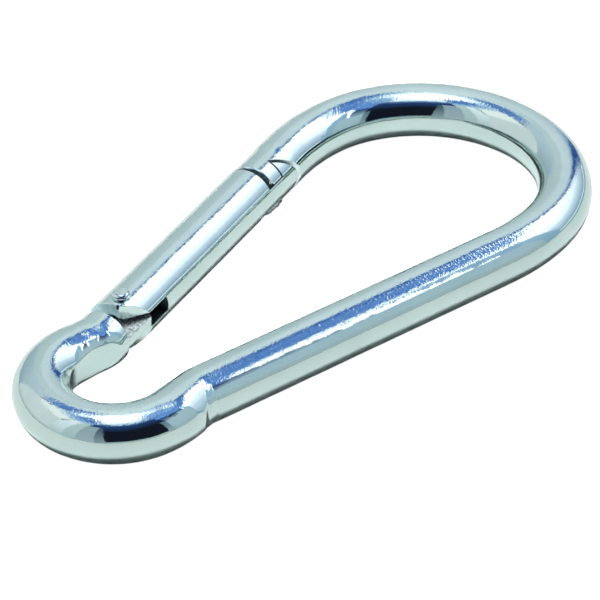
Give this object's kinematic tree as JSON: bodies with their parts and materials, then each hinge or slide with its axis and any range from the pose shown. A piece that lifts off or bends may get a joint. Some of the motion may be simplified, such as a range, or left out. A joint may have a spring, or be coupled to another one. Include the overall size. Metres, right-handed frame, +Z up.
{
  "type": "spring snap hook",
  "caption": "Spring snap hook of bent round bar: small eye, large bow and a hinged, spring-loaded gate that locks behind a hooked nose.",
  "frame": {"origin": "centre of the bounding box at its underside, on the surface that the hook lies on", "axes": "+X from the small eye to the large bow, +Y from the spine to the gate, +Z up through the bar's thickness"},
  "size_m": [0.18, 0.0856, 0.0152],
  "materials": {
    "bright_zinc_body": "bright zinc plated steel, glossy with fine grain",
    "bright_zinc_gate": "bright zinc plated steel, glossy",
    "zinc_rivet": "zinc plated steel, peened",
    "plain_steel_pin": "plain turned steel",
    "spring_steel": "oiled spring wire"
  },
  "bodies": {
    "frame": {"hook_body": "bright_zinc_body"},
    "gate_arm": {"gate": "bright_zinc_gate", "hinge_rivet": "zinc_rivet", "gate_spring": "spring_steel"},
    "pin_slider": {"thrust_pin": "plain_steel_pin"}
  },
  "joints": [
    {"name": "gate_hinge", "type": "hinge", "parent": "frame", "child": "gate_arm", "pos_m": [-0.0449, 0.0183, 0.007], "axis": [0, 0, -1], "range_deg": [0, 30], "stiffness_Nm_per_rad": 1.2, "springref_deg": -11.46},
    {"name": "pin_slide", "type": "slide", "parent": "gate_arm", "child": "pin_slider", "axis": [0.9793, 0.2024, 0], "range_m": [0, 0.0015], "deforming": ["gate_spring"]}
  ],
  "couplings": [
    {"joint": "pin_slide", "follows": "gate_hinge", "m_per_rad": 0.0027}
  ]
}
